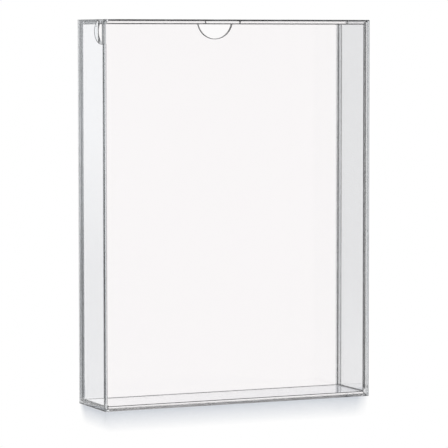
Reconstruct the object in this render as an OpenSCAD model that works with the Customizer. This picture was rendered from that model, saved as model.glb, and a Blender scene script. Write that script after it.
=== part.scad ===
// Clear card deck box with a back panel that slides up and out.
// The box rests on its bottom. +Z is up, the closed front faces -Y, and the
// origin is at the middle of the footprint, on the surface it stands on.

/* [Box] */
// Outside height of the box
box_h = 106; // [90:0.5:160]
// Outside width of the box
box_w = 80.2; // [60:0.1:120]
// Outside depth of the box, front to back
box_d = 19.2; // [14:0.1:40]
// Thickness of the clear sheet
sheet = 1.35; // [1:0.05:2.5]

/* [Sliding panel] */
// Thickness of the sliding panel
panel_t = 1; // [0.8:0.05:2]
// Clearance around the sliding panel in its groove
slide_gap = 0.1; // [0.05:0.01:0.25]
// Front to back size of the strips in front of the sliding panel
guide_t = 1.25; // [0.8:0.05:2]
// Front to back size of the strips that close the groove behind it
strip_t = 1.25; // [0.8:0.05:2]
// Radius of the thumb notch in the panel's top edge
thumb_r = 5.2; // [3:0.1:10]

/* [Finger notch] */
// How far the side finger notch reaches back from the front panel
finger_d = 5.4; // [3:0.1:8]
// Half the height of the side finger notch
finger_h = 3.5; // [2:0.1:5]
// Distance from the box's top edge down to the notch's centre
finger_drop = 3.25; // [2:0.05:5]

/* [Colour] */
// Opacity of the clear plastic
clear = 0.35; // [0.1:0.05:1]

/* [Hidden] */
$fn = 96;
cut = 1;                               // how far a cutting shape runs past a face
wall_tone = [0.88, 0.91, 0.93, clear];
edge_tone = [0.80, 0.84, 0.87, clear];
panel_tone = [0.97, 0.96, 0.97, clear];

front_y = -box_d / 2;
back_y = box_d / 2;
inner_w = box_w - 2 * sheet;
ledge = sheet / 2;                     // half of each wall, left as a rim round the panels
rim_w = box_w - 2 * ledge;             // width between the rims
seat_y = front_y + sheet;              // back face of the front panel

groove_back = back_y - strip_t;        // front face of the rear strips
groove_front = groove_back - panel_t - 2 * slide_gap;
guide_front = groove_front - guide_t;  // front face of the inner strips

panel_w = rim_w - 2 * slide_gap;
panel_z = ledge + slide_gap;
panel_h = box_h - panel_z;

// A block given by its least corner and its size
module block(corner, size) {
    translate(corner) cube(size);
}

// The room that the front panel takes in the walls' front edges
module front_rebate() {
    block([-rim_w / 2, front_y - cut, ledge],
          [rim_w, sheet + cut, box_h - 2 * ledge]);
}

// The room for the panel and its strips, from start_y to the open back
module rear_rebate(start_y) {
    block([-rim_w / 2, start_y, ledge], [rim_w, box_d, box_h]);
}

// Side wall of full height. side is -1 for the left and 1 for the right.
// Its front and rear edges keep only the outer half.
module side_wall(side) {
    centre_x = side * (box_w - sheet) / 2;
    difference() {
        block([centre_x - sheet / 2, front_y, 0], [sheet, box_d, box_h]);
        front_rebate();
        rear_rebate(guide_front);
    }
}

// Half-moon outline, flat side on the front panel's back face
module half_moon() {
    polygon([for (a = [-90:6:90]) [finger_d * cos(a), finger_h * sin(a)]]);
}

module front_panel() {
    color(panel_tone)
        block([-rim_w / 2, front_y, ledge], [rim_w, sheet, box_h - 2 * ledge]);
}

module left_wall() {
    color(wall_tone)
        difference() {
            side_wall(-1);
            translate([-box_w / 2 - cut, seat_y, box_h - finger_drop])
                rotate([90, 0, 90])
                    linear_extrude(sheet + 2 * cut) half_moon();
        }
}

module right_wall() {
    color(wall_tone) side_wall(1);
}

// The top wall ends in front of the sliding panel, which passes behind it
module top_wall() {
    color(wall_tone)
        difference() {
            block([-inner_w / 2, front_y, box_h - sheet],
                  [inner_w, groove_front - front_y, sheet]);
            front_rebate();
        }
}

module bottom_wall() {
    color(wall_tone)
        difference() {
            block([-inner_w / 2, front_y, 0], [inner_w, box_d, sheet]);
            front_rebate();
            rear_rebate(groove_front);
        }
}

// Upright strip in a side wall's rear rebate, flush with its inner face
module upright_strip(side, start_y, depth) {
    centre_x = side * (inner_w + ledge) / 2;
    color(edge_tone)
        block([centre_x - ledge / 2, start_y, ledge],
              [ledge, depth, box_h - ledge]);
}

module left_inner_strip() {
    upright_strip(-1, guide_front, guide_t);
}

module right_inner_strip() {
    upright_strip(1, guide_front, guide_t);
}

module left_rear_strip() {
    upright_strip(-1, groove_back, strip_t);
}

module right_rear_strip() {
    upright_strip(1, groove_back, strip_t);
}

module bottom_rear_strip() {
    color(edge_tone)
        block([-inner_w / 2, groove_back, ledge], [inner_w, strip_t, ledge]);
}

module sliding_panel() {
    color(panel_tone)
        difference() {
            block([-panel_w / 2, groove_front + slide_gap, panel_z],
                  [panel_w, panel_t, panel_h]);
            translate([0, back_y, box_h])
                rotate([90, 0, 0]) cylinder(r = thumb_r, h = box_d / 2);
        }
}

front_panel();
left_wall();
right_wall();
top_wall();
bottom_wall();
left_inner_strip();
right_inner_strip();
left_rear_strip();
right_rear_strip();
bottom_rear_strip();
sliding_panel();
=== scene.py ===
"""Clear card deck box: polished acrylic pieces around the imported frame, on a pale floor in soft light."""

import math

import bmesh
import bpy
from mathutils import Matrix, Vector
from mathutils.geometry import intersect_point_line

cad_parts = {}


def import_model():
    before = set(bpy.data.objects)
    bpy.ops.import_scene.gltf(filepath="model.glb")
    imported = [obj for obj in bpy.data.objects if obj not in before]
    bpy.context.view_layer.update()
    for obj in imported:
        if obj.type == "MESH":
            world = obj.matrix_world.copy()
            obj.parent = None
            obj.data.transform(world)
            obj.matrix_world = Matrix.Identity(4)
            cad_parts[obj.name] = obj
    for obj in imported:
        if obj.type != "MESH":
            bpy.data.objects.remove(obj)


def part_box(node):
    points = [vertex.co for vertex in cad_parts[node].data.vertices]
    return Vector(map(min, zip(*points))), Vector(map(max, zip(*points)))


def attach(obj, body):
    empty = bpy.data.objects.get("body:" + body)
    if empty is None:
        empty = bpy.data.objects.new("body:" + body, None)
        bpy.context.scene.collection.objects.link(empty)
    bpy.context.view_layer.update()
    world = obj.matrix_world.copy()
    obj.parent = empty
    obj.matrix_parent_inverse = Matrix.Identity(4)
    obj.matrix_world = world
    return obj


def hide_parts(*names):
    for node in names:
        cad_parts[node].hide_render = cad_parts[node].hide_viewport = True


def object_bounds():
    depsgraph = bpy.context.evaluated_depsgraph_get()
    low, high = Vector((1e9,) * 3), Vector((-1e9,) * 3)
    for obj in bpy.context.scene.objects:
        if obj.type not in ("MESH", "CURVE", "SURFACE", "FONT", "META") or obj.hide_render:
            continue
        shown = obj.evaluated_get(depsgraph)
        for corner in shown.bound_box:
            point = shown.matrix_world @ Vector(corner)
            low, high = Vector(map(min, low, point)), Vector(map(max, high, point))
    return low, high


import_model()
CAD_LOW, CAD_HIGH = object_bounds()
HEIGHT = CAD_HIGH.z - CAD_LOW.z

MM = 0.001
QUARTER = math.radians(90)
GAP = 0.012 * MM            # each piece stops this far inside its CAD faces, so that no two faces coincide
CUT = 2 * MM                # how far a cutting shape runs past a face
NEAR = 0.05 * MM            # points this close to a plane count as lying on it
MERGE = 0.001 * MM          # points closer together than this become one
FLAT_TURN = math.radians(0.2)   # faces that turn by less than this become one
SHARP_TURN = math.radians(40)   # an edge that turns by more than this gets a bevel
BEVEL_STEPS = 4
ARC_STEPS = 28              # steps in half a circle
SIDE_FACET = 0.90           # a bevel facet that faces an axis more squarely than this is a side facet

# The material slots of a piece: its clear sheet, and its ground and polished edges, which carry painted
# dark shade
CLEAR_SLOT = 0
EDGE_SLOT = 1

# The ways an edge is finished: width of its bevel, and the slots of its side facets and middle facets
WIDE_EDGE = (0.38 * MM, EDGE_SLOT, EDGE_SLOT)
GROOVE_EDGE = (0.27 * MM, EDGE_SLOT, EDGE_SLOT)
MIDDLE_EDGE = (0.18 * MM, EDGE_SLOT, EDGE_SLOT)
FINE_EDGE = (0.09 * MM, EDGE_SLOT, EDGE_SLOT)
SEAT_EDGE = (0.46 * MM, EDGE_SLOT, CLEAR_SLOT)
SEAM_EDGE = (0.06 * MM, CLEAR_SLOT, CLEAR_SLOT)
WIDEST_EDGE = SEAT_EDGE[0]

# The finger notch in the left wall and the thumb notch in the sliding panel
FINGER_DEPTH = 5.4 * MM
FINGER_HALF = 3.5 * MM
FINGER_DROP = 3.25 * MM
THUMB_RADIUS = 5.2 * MM

GLUE_RADIUS = 0.23 * MM     # the hollow fillet of cement where a side wall meets the floor of the box
GLUE_STEPS = 6

# The camera. Its distances are in box heights, from the middle of the box's base.
CAMERA_YAW = math.radians(24.22)
CAMERA_PITCH = math.radians(3.87)
CAMERA_ROLL = math.radians(-0.05)
CAMERA_DISTANCE = 7.04
CAMERA_AIM_HEIGHT = 0.5
CAMERA_RIGHT = -0.0037
CAMERA_UP = -0.0352
CAMERA_CLIP_START = 0.1
CAMERA_CLIP_END = 200
CAMERA_LENS_MM = 215.3
SENSOR_MM = 36.0


# ---------------------------------------------------------------- meshes

def add_object(name, mesh):
    obj = bpy.data.objects.new(name, mesh)
    bpy.context.scene.collection.objects.link(obj)
    return obj


def mesh_object(name, bm):
    mesh = bpy.data.meshes.new(name)
    bm.normal_update()
    bm.to_mesh(mesh)
    bm.free()
    return add_object(name, mesh)


def block(name, low, high):
    """A closed block between two corners."""
    bm = bmesh.new()
    bmesh.ops.create_cube(bm, size=1.0)
    low, high = Vector(low), Vector(high)
    for vert in bm.verts:
        vert.co = Vector(low[i] + (vert.co[i] + 0.5) * (high[i] - low[i]) for i in range(3))
    return mesh_object(name, bm)


def prism(name, outline, start, end, place):
    """A closed prism of a flat outline; place(u, v, w) gives a point from outline and depth."""
    bm = bmesh.new()
    near = [bm.verts.new(place(u, v, start)) for u, v in outline]
    far = [bm.verts.new(place(u, v, end)) for u, v in outline]
    bm.faces.new(near)
    bm.faces.new(list(reversed(far)))
    count = len(outline)
    for i in range(count):
        j = (i + 1) % count
        bm.faces.new((near[j], near[i], far[i], far[j]))
    bmesh.ops.recalc_face_normals(bm, faces=bm.faces)
    return mesh_object(name, bm)


def bake(obj):
    """Applies the object's modifiers to its mesh."""
    graph = bpy.context.evaluated_depsgraph_get()
    mesh = bpy.data.meshes.new_from_object(obj.evaluated_get(graph))
    obj.modifiers.clear()
    obj.data = mesh


def carve(obj, *cutters):
    """Takes the cutters away from obj."""
    for cutter in cutters:
        cut = obj.modifiers.new("cut", "BOOLEAN")
        cut.operation = "DIFFERENCE"
        cut.solver = "EXACT"
        cut.object = cutter
    bake(obj)
    for cutter in cutters:
        bpy.data.objects.remove(cutter)


def sharp_edges(bm):
    """The outward edges that turn sharply."""
    return [edge for edge in bm.edges
            if len(edge.link_faces) == 2 and edge.is_convex and edge.calc_face_angle() > SHARP_TURN]


def edge_distance(point, edge):
    """Distance from a point to a straight edge, held as its two ends."""
    place, along = intersect_point_line(point, edge[0], edge[1])
    along = min(max(along, 0.0), 1.0)
    return (point - edge[0].lerp(edge[1], along)).length


def polish(obj, clear, style):
    """Bevels every sharp edge. style(middle of the edge) says how it is finished."""
    bm = bmesh.new()
    bm.from_mesh(obj.data)
    bmesh.ops.remove_doubles(bm, verts=bm.verts, dist=MERGE)
    bmesh.ops.dissolve_limit(bm, angle_limit=FLAT_TURN, verts=bm.verts, edges=bm.edges)
    bm.normal_update()
    weight = bm.edges.layers.float.new("bevel_weight_edge")
    styled = []
    for edge in sharp_edges(bm):
        ends = [vert.co.copy() for vert in edge.verts]
        width, side_slot, middle_slot = style((ends[0] + ends[1]) / 2)
        edge[weight] = width / WIDEST_EDGE
        styled.append((ends, side_slot, middle_slot))
    bm.to_mesh(obj.data)
    bm.free()
    obj.data.materials.clear()
    obj.data.materials.append(clear)
    obj.data.materials.append(PAINTED_DARK_EDGE)
    bevel = obj.modifiers.new("polish", "BEVEL")
    bevel.width = WIDEST_EDGE
    bevel.segments = BEVEL_STEPS
    bevel.limit_method = "WEIGHT"
    bevel.use_clamp_overlap = False
    bevel.material = EDGE_SLOT
    bake(obj)
    for face in obj.data.polygons:
        if face.material_index == EDGE_SLOT:
            nearest = min(styled, key=lambda item: edge_distance(face.center, item[0]))
            is_side = max(abs(part) for part in face.normal) > SIDE_FACET
            face.material_index = nearest[1] if is_side else nearest[2]


# ---------------------------------------------------------------- materials

ACRYLIC_IOR = 1.49
NOISE_DETAIL = 2.0

SHEET_RIPPLE = 0.02 * MM    # depth of the slow ripple in a sheet's faces
RIPPLES_PER_M = 45.0
MARKS_PER_M = 70.0          # hairline handling marks, which lie where the noise crosses its middle
MARK_DETAIL = 4.0
MARK_MIDDLE = 0.5
MARK_WIDTH = 0.002
MARK_ROUGHNESS = 0.12
TONES_PER_M = 12.0          # a faint unevenness of tone, down to a dip at the low end of the noise
TONE_DIP = 0.994
TONE_LIMITS = (0.35, 0.65)

# The edge colours are painted shade: near-black runs and paler runs, standing in for the dark that polished
# edges show.
EDGE_PAINTED_SHADE_DEEP = (0.012, 0.013, 0.015)
EDGE_PAINTED_SHADE_PALE = (0.16, 0.17, 0.18)
EDGE_RUNS_PER_M = 190.0     # runs of darker and paler painted shade along the edges
EDGE_RUN_LIMITS = (0.45, 0.7)
EDGE_TRANSMISSION = 0.25
EDGE_ROUGHNESS = 0.25
EDGE_SPECULAR = 0.2
SAW_MARKS_PER_M = 3 * EDGE_RUNS_PER_M
SAW_DEPTH = 0.004 * MM


def node(tree, kind, **inputs):
    """A new shader node with some of its inputs set."""
    made = tree.nodes.new(kind)
    for key, value in inputs.items():
        made.inputs[key.replace("_", " ")].default_value = value
    return made


def spread(tree, value, low, high, to_low, to_high):
    """Maps a value between two limits onto two others, without running past them."""
    made = node(tree, "ShaderNodeMapRange", From_Min=low, From_Max=high, To_Min=to_low, To_Max=to_high)
    tree.links.new(value, made.inputs["Value"])
    return made.outputs["Result"]


def arithmetic(tree, operation, *values):
    """The result of an operation on sockets or plain numbers."""
    made = tree.nodes.new("ShaderNodeMath")
    made.operation = operation
    for socket, value in zip(made.inputs, values):
        if isinstance(value, float):
            socket.default_value = value
        else:
            tree.links.new(value, socket)
    return made.outputs["Value"]


def noise(tree, place, scale, detail=NOISE_DETAIL):
    made = node(tree, "ShaderNodeTexNoise", Scale=scale, Detail=detail)
    tree.links.new(place, made.inputs["Vector"])
    return made.outputs["Fac"]


def colour_mix(tree, factor, first, second):
    """A colour that runs from the first to the second as the factor goes from 0 to 1."""
    made = node(tree, "ShaderNodeMix")
    made.data_type = "RGBA"
    made.inputs["A"].default_value = (*first, 1.0)
    made.inputs["B"].default_value = (*second, 1.0)
    tree.links.new(factor, made.inputs["Factor"])
    return made.outputs["Result"]


def bump(tree, shader, height, depth):
    """Gives the shader's surface a relief of this depth."""
    made = node(tree, "ShaderNodeBump", Strength=1.0, Distance=depth)
    tree.links.new(height, made.inputs["Height"])
    tree.links.new(made.outputs["Normal"], shader.inputs["Normal"])


def plastic(name, tint, transmission, roughness):
    """A plastic material, with its tree, its shader and its place in the object's own metres."""
    material = bpy.data.materials.new(name)
    material.use_nodes = True
    tree = material.node_tree
    shader = tree.nodes["Principled BSDF"]
    shader.inputs["Base Color"].default_value = (*tint, 1.0)
    shader.inputs["IOR"].default_value = ACRYLIC_IOR
    shader.inputs["Transmission Weight"].default_value = transmission
    shader.inputs["Roughness"].default_value = roughness
    return material, tree, shader, tree.nodes.new("ShaderNodeTexCoord").outputs["Object"]


def clear_acrylic(name, tint):
    """Polished cast sheet, with a slow ripple, a faint unevenness of tone and hairline handling marks."""
    material, tree, shader, place = plastic(name, tint, 1.0, 0.0)
    bump(tree, shader, noise(tree, place, RIPPLES_PER_M), SHEET_RIPPLE)

    off_line = arithmetic(tree, "SUBTRACT", noise(tree, place, MARKS_PER_M, MARK_DETAIL), MARK_MIDDLE)
    distance = arithmetic(tree, "ABSOLUTE", off_line)
    tree.links.new(spread(tree, distance, 0.0, MARK_WIDTH, MARK_ROUGHNESS, 0.0), shader.inputs["Roughness"])

    unevenness = spread(tree, noise(tree, place, TONES_PER_M), *TONE_LIMITS, 0.0, 1.0)
    dipped = tuple(part * TONE_DIP for part in tint)
    tree.links.new(colour_mix(tree, unevenness, dipped, tint), shader.inputs["Base Color"])
    return material


def polished_edge_painted_dark():
    """Ground and flame-polished edges with shade painted into their colour, so they read dark, in short
    runs.
    """
    material, tree, shader, place = plastic("polished_edge_painted_dark", EDGE_PAINTED_SHADE_DEEP, EDGE_TRANSMISSION, EDGE_ROUGHNESS)
    shader.inputs["Specular IOR Level"].default_value = EDGE_SPECULAR
    runs = spread(tree, noise(tree, place, EDGE_RUNS_PER_M), *EDGE_RUN_LIMITS, 0.0, 1.0)
    tree.links.new(colour_mix(tree, runs, EDGE_PAINTED_SHADE_DEEP, EDGE_PAINTED_SHADE_PALE), shader.inputs["Base Color"])
    bump(tree, shader, noise(tree, place, SAW_MARKS_PER_M), SAW_DEPTH)
    return material


# The left wall, and the right wall with the strips, take shaded copies of the panels' acrylic: their greyer
# tints are painted shade for sheets seen at a slant.
PANEL_CLEAR = clear_acrylic("clear_panel_acrylic", (0.975, 0.964, 0.966))
LEFT_CLEAR_SHADED = clear_acrylic("clear_left_acrylic_shaded", (0.935, 0.945, 0.957))
WALL_CLEAR_SHADED = clear_acrylic("clear_wall_acrylic_shaded", (0.800, 0.812, 0.821))
PAINTED_DARK_EDGE = polished_edge_painted_dark()


# ---------------------------------------------------------------- pieces

FRONT_LOW, FRONT_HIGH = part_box("front_panel")
SEAT_Y = FRONT_HIGH.y                           # back face of the front panel
GUIDE_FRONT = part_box("left_inner_strip")[0].y   # front face of the inner strips
GROOVE_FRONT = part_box("left_inner_strip")[1].y  # their back face, where the groove begins
SLIDE_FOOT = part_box("sliding_panel")[0].z
INNER_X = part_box("top_wall")[1].x               # inner face of the right wall
INNER_Z = (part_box("bottom_wall")[1].z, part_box("top_wall")[0].z)


def inset_box(name):
    """The two corners of a node's CAD box, drawn in by the gap."""
    low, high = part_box(name)
    margin = Vector((GAP, GAP, GAP))
    return low + margin, high - margin


def finish_piece(obj, body, slot, *nodes):
    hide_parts(*nodes)
    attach(obj, body)


def is_near(value, *targets):
    return any(abs(value - target) < NEAR for target in targets)


def is_outside(point):
    """Says whether a point lies on an outer edge of the box."""
    return sum(is_near(point[i], CAD_LOW[i], CAD_HIGH[i]) for i in range(3)) >= 2


# Each rule below says how the edge whose middle is at the point is finished.
# The widths are chosen for how dark each edge's painted shade reads from the camera, so the left and right
# sides differ.

def side_wall_edge(point):
    if is_outside(point):
        if is_near(point.y, CAD_HIGH.y):
            return SEAM_EDGE
        return FINE_EDGE if is_near(point.z, CAD_LOW.z) or point.x < 0 else MIDDLE_EDGE
    if is_near(abs(point.x), INNER_X):
        if is_near(point.y, SEAT_Y):
            return SEAT_EDGE
        return MIDDLE_EDGE if point.x > 0 and is_near(point.y, GUIDE_FRONT) else SEAM_EDGE
    if is_near(point.y, CAD_LOW.y):
        return FINE_EDGE if point.x < 0 else SEAM_EDGE
    if is_near(point.y, GUIDE_FRONT, CAD_HIGH.y) or is_near(point.z, CAD_LOW.z, CAD_HIGH.z):
        return SEAM_EDGE
    return FINE_EDGE


def cross_wall_edge(point):
    if is_near(abs(point.x), INNER_X):
        return MIDDLE_EDGE if is_near(point.z, *INNER_Z) else SEAM_EDGE
    if is_outside(point):
        return FINE_EDGE if is_near(point.z, CAD_LOW.z) else MIDDLE_EDGE
    if is_near(point.y, CAD_LOW.y, CAD_HIGH.y):
        return SEAM_EDGE
    if is_near(point.y, SEAT_Y):
        return MIDDLE_EDGE
    return WIDE_EDGE if point.z > HEIGHT / 2 else FINE_EDGE


def strip_edge(point):
    is_inner_edge = abs(point.x) < FRONT_HIGH.x - NEAR and FRONT_LOW.z + NEAR < point.z < CAD_HIGH.z - NEAR
    if not is_inner_edge or (point.x > NEAR and is_near(point.y, CAD_HIGH.y)):
        return SEAM_EDGE
    if abs(point.x) < NEAR:
        return MIDDLE_EDGE
    if is_near(point.y, GUIDE_FRONT):
        return MIDDLE_EDGE if point.x > 0 else SEAM_EDGE
    return GROOVE_EDGE if point.x > 0 else WIDE_EDGE


def seam_edge(point):
    return SEAM_EDGE


def panel_edge(point):
    if is_near(point.z, SLIDE_FOOT) or abs(point.x) > INNER_X:
        return SEAM_EDGE
    return MIDDLE_EDGE


def front_panel():
    obj = block("clear_front_panel", *inset_box("front_panel"))
    polish(obj, PANEL_CLEAR, seam_edge)
    finish_piece(obj, "box", "clear_panel", "front_panel")


def front_rebate():
    """The room that the front panel takes in the walls' front edges."""
    low = Vector((FRONT_LOW.x - GAP, FRONT_LOW.y - CUT, FRONT_LOW.z - GAP))
    high = Vector((FRONT_HIGH.x + GAP, FRONT_HIGH.y + GAP, FRONT_HIGH.z + GAP))
    return block("front_rebate", low, high)


def rear_rebate(start_y):
    """The room for the sliding panel and its strips, open at the top and at the back."""
    low = Vector((FRONT_LOW.x - GAP, start_y - GAP, FRONT_LOW.z - GAP))
    high = Vector((FRONT_HIGH.x + GAP, CAD_HIGH.y + CUT, CAD_HIGH.z + CUT))
    return block("rear_rebate", low, high)


def finger_notch():
    centre_z = CAD_HIGH.z - FINGER_DROP
    outline = []
    for i in range(ARC_STEPS + 1):
        angle = math.pi * (i / ARC_STEPS - 0.5)
        y = SEAT_Y - GAP + FINGER_DEPTH * math.cos(angle)
        outline.append((y, centre_z + FINGER_HALF * math.sin(angle)))
    low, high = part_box("left_wall")
    return prism("finger", outline, low.x - CUT, high.x + CUT, lambda u, v, w: (w, u, v))


def thumb_notch():
    outline = []
    for i in range(2 * ARC_STEPS):
        angle = math.pi * i / ARC_STEPS
        outline.append((THUMB_RADIUS * math.cos(angle), CAD_HIGH.z + THUMB_RADIUS * math.sin(angle)))
    low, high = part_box("sliding_panel")
    return prism("thumb", outline, low.y - CUT, high.y + CUT, lambda u, v, w: (u, w, v))


def wall(name, clear, style, *cutters):
    obj = block("clear_" + name, *inset_box(name))
    carve(obj, *cutters)
    polish(obj, clear, style)
    finish_piece(obj, "box", "clear_wall", name)


def strip(name):
    obj = block("clear_" + name, *inset_box(name))
    polish(obj, WALL_CLEAR_SHADED, strip_edge)
    finish_piece(obj, "box", "clear_strip", name)


def sliding_panel():
    obj = block("clear_sliding_panel", *inset_box("sliding_panel"))
    carve(obj, thumb_notch())
    polish(obj, PANEL_CLEAR, panel_edge)
    finish_piece(obj, "panel", "clear_panel", "sliding_panel")


def glue_line(name, side):
    """A fillet of cement inside, along the foot of the side wall on the left (-1) or the right (1),
    coloured with the edges' painted dark shade.
    """
    corner_x, corner_z = INNER_X - GAP, INNER_Z[0] + GAP
    outline = [(side * corner_x, corner_z)]
    for i in range(GLUE_STEPS + 1):
        angle = QUARTER * i / GLUE_STEPS
        outline.append((side * (corner_x - GLUE_RADIUS * (1 - math.cos(angle))),
                        corner_z + GLUE_RADIUS * (1 - math.sin(angle))))
    obj = prism(name, outline, SEAT_Y + GAP, GROOVE_FRONT - GAP, lambda u, v, w: (u, w, v))
    obj.data.materials.append(PAINTED_DARK_EDGE)
    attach(obj, "box")


front_panel()
wall("left_wall", LEFT_CLEAR_SHADED, side_wall_edge, front_rebate(), rear_rebate(GUIDE_FRONT), finger_notch())
wall("right_wall", WALL_CLEAR_SHADED, side_wall_edge, front_rebate(), rear_rebate(GUIDE_FRONT))
wall("top_wall", PANEL_CLEAR, cross_wall_edge, front_rebate())
wall("bottom_wall", PANEL_CLEAR, cross_wall_edge, front_rebate(), rear_rebate(GROOVE_FRONT))
for strip_name in ("left_inner_strip", "right_inner_strip", "left_rear_strip", "right_rear_strip",
                   "bottom_rear_strip"):
    strip(strip_name)
sliding_panel()
glue_line("left_glue_line", -1)
glue_line("right_glue_line", 1)


# ---------------------------------------------------------------- stage

WHITE = (1.0, 1.0, 1.0)
FLOOR_REACH = 40 * HEIGHT       # from the middle of the floor to each of its sides
FLOOR_DROP = 0.02 * MM
FLOOR_GLOSS = 0.15
FLOOR_ROUGHNESS = 0.2
FOOT_PAINTED_SHADE = (0.66, 0.69, 0.74)  # the painted shade's tone on the floor at the foot of the box

SHADE_REACH = 0.34 * HEIGHT     # how far the soft shade runs out in front of the box
LEFT_SLANT = 0.36               # how far its left side leans to the left for each metre that it runs out
RIGHT_SLANT = 0.54              # the same for its right side
SHADE_SOFT = 0.035 * HEIGHT     # width of its soft right and rear edges
SHADE_UNDER = (0.1, 1.0)        # its strength under the box's left and right ends

# Each grey card stands out from the box at an azimuth, and aside from that line.
# Its tones are two (height, tone) pairs, and it is even below the first and above the second.
CARD_TINT = (0.96, 0.98, 1.0)
CARD_HEIGHT = 1.04 * HEIGHT
RIGHT_CARD_AZIMUTH = CAMERA_YAW - QUARTER
RIGHT_CARD_OUT = 0.46 * HEIGHT
RIGHT_CARD_ASIDE = 0.787 * HEIGHT
RIGHT_CARD_WIDTH = 0.22 * HEIGHT
RIGHT_CARD_TONES = ((0.0, 1.0), (0.25 * HEIGHT, 0.76))
LEFT_CARD_AZIMUTH = -CAMERA_YAW
LEFT_CARD_OUT = 0.35 * HEIGHT
LEFT_CARD_ASIDE = -0.331 * HEIGHT
LEFT_CARD_WIDTH = 0.13 * HEIGHT
LEFT_CARD_TONES = ((0.35 * HEIGHT, 0.65), (0.70 * HEIGHT, 0.98))

LIGHT_BOUNCES = 24
GLOSSY_BOUNCES = 12


def bare_material(name):
    """A material without a shader, and its tree."""
    material = bpy.data.materials.new(name)
    material.use_nodes = True
    tree = material.node_tree
    tree.nodes.remove(tree.nodes["Principled BSDF"])
    return material, tree


def own_place(tree):
    """The sockets X, Y and Z of a point in the object's own metres."""
    place = tree.nodes.new("ShaderNodeTexCoord")
    parts = tree.nodes.new("ShaderNodeSeparateXYZ")
    tree.links.new(place.outputs["Object"], parts.inputs["Vector"])
    return parts.outputs


def shade_of_box(tree):
    """1 at the box's foot, fading to 0 where the soft shade painted in front of it ends."""
    place = own_place(tree)
    x, y = place["X"], place["Y"]
    past_front = arithmetic(tree, "SUBTRACT", CAD_LOW.y, y)
    past_left = arithmetic(tree, "DIVIDE", arithmetic(tree, "SUBTRACT", CAD_LOW.x, x), LEFT_SLANT)
    out = arithmetic(tree, "MAXIMUM", arithmetic(tree, "MAXIMUM", past_front, past_left), 0.0)
    along = spread(tree, out, 0.0, SHADE_REACH, 1.0, 0.0)

    lean = arithmetic(tree, "MULTIPLY", past_front, RIGHT_SLANT)
    past_right = arithmetic(tree, "SUBTRACT", x, arithmetic(tree, "SUBTRACT", CAD_HIGH.x, lean))
    past_back = arithmetic(tree, "SUBTRACT", arithmetic(tree, "ADD", y, out), CAD_HIGH.y)
    past_side = arithmetic(tree, "MAXIMUM", past_right, past_back)
    across = spread(tree, past_side, -SHADE_SOFT, 0.0, 1.0, 0.0)

    under = spread(tree, x, CAD_LOW.x, CAD_HIGH.x, *SHADE_UNDER)
    clear_of_box = spread(tree, out, 0.0, NEAR, 0.0, 1.0)
    strength = arithmetic(tree, "MAXIMUM", under, clear_of_box)
    return arithmetic(tree, "MULTIPLY", arithmetic(tree, "MULTIPLY", along, across), strength)


def floor():
    """A white sweep with the box's soft shade painted into its glow, which dimly mirrors the box within
    that shade.
    """
    bm = bmesh.new()
    bmesh.ops.create_grid(bm, x_segments=1, y_segments=1, size=FLOOR_REACH)
    obj = mesh_object("floor", bm)
    obj.location.z = -FLOOR_DROP
    material, tree = bare_material("pale_floor")
    shade = shade_of_box(tree)
    lit = node(tree, "ShaderNodeEmission")
    tree.links.new(colour_mix(tree, shade, WHITE, FOOT_PAINTED_SHADE), lit.inputs["Color"])
    gloss = node(tree, "ShaderNodeBsdfGlossy", Roughness=FLOOR_ROUGHNESS)
    mix = tree.nodes.new("ShaderNodeMixShader")
    tree.links.new(arithmetic(tree, "MULTIPLY", shade, FLOOR_GLOSS), mix.inputs["Fac"])
    tree.links.new(lit.outputs["Emission"], mix.inputs[1])
    tree.links.new(gloss.outputs["BSDF"], mix.inputs[2])
    tree.links.new(mix.outputs["Shader"], tree.nodes["Material Output"].inputs["Surface"])
    obj.data.materials.append(material)


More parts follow.
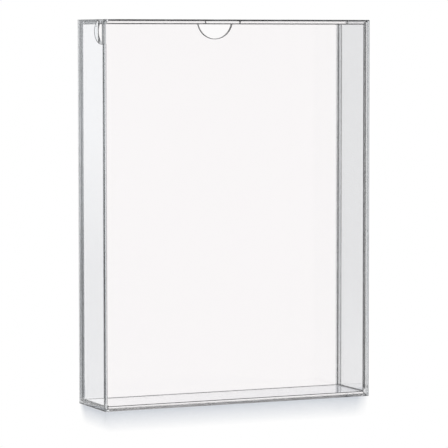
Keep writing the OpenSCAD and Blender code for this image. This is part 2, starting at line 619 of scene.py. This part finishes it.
def card(name, azimuth, out, aside, width, tones):
    """A grey studio card beside the box, seen only in the plastic."""
    heading = Vector((math.sin(azimuth), math.cos(azimuth), 0.0))
    side = Vector((math.cos(azimuth), -math.sin(azimuth), 0.0))
    centre = heading * out + side * aside
    rise = Vector((0.0, 0.0, CARD_HEIGHT))
    bm = bmesh.new()
    corners = [centre - side * width / 2, centre + side * width / 2]
    foot = [bm.verts.new(corner) for corner in corners]
    head = [bm.verts.new(corner + rise) for corner in corners]
    bm.faces.new((foot[0], foot[1], head[1], head[0]))
    obj = mesh_object(name, bm)

    material, tree = bare_material(name)
    (low, low_tone), (high, high_tone) = tones
    glow = node(tree, "ShaderNodeEmission", Color=(*CARD_TINT, 1.0))
    tone = spread(tree, own_place(tree)["Z"], low, high, low_tone, high_tone)
    tree.links.new(tone, glow.inputs["Strength"])
    tree.links.new(glow.outputs["Emission"], tree.nodes["Material Output"].inputs["Surface"])
    obj.data.materials.append(material)
    obj.visible_camera = False
    obj.visible_diffuse = False
    obj.visible_shadow = False


def world():
    made = bpy.data.worlds.new("studio")
    bpy.context.scene.world = made
    made.use_nodes = True
    background = made.node_tree.nodes["Background"]
    background.inputs["Color"].default_value = (*WHITE, 1.0)
    background.inputs["Strength"].default_value = 1.0


def camera():
    yaw, pitch = CAMERA_YAW, CAMERA_PITCH
    forward = Vector((math.sin(yaw) * math.cos(pitch), math.cos(yaw) * math.cos(pitch), -math.sin(pitch)))
    right = Vector((math.cos(yaw), -math.sin(yaw), 0.0))
    up = right.cross(forward)
    centre = Vector((0.0, (CAD_LOW.y + CAD_HIGH.y) / 2, CAD_LOW.z + CAMERA_AIM_HEIGHT * HEIGHT))
    place = centre + HEIGHT * (CAMERA_RIGHT * right + CAMERA_UP * up - CAMERA_DISTANCE * forward)
    data = bpy.data.cameras.new("camera")
    data.sensor_width = SENSOR_MM
    data.lens = CAMERA_LENS_MM
    data.clip_start = CAMERA_CLIP_START * HEIGHT
    data.clip_end = CAMERA_CLIP_END * HEIGHT
    obj = add_object("camera", data)
    turn = Matrix((right, up, -forward)).transposed()
    obj.matrix_world = Matrix.Translation(place) @ turn.to_4x4() @ Matrix.Rotation(CAMERA_ROLL, 4, "Z")
    bpy.context.scene.camera = obj


floor()
world()
card("right_wall_card", RIGHT_CARD_AZIMUTH, RIGHT_CARD_OUT, RIGHT_CARD_ASIDE, RIGHT_CARD_WIDTH,
     RIGHT_CARD_TONES)
card("left_wall_card", LEFT_CARD_AZIMUTH, LEFT_CARD_OUT, LEFT_CARD_ASIDE, LEFT_CARD_WIDTH,
     LEFT_CARD_TONES)
camera()
scene = bpy.context.scene
scene.view_settings.view_transform = "Standard"
scene.cycles.max_bounces = LIGHT_BOUNCES
scene.cycles.transmission_bounces = LIGHT_BOUNCES
scene.cycles.glossy_bounces = GLOSSY_BOUNCES
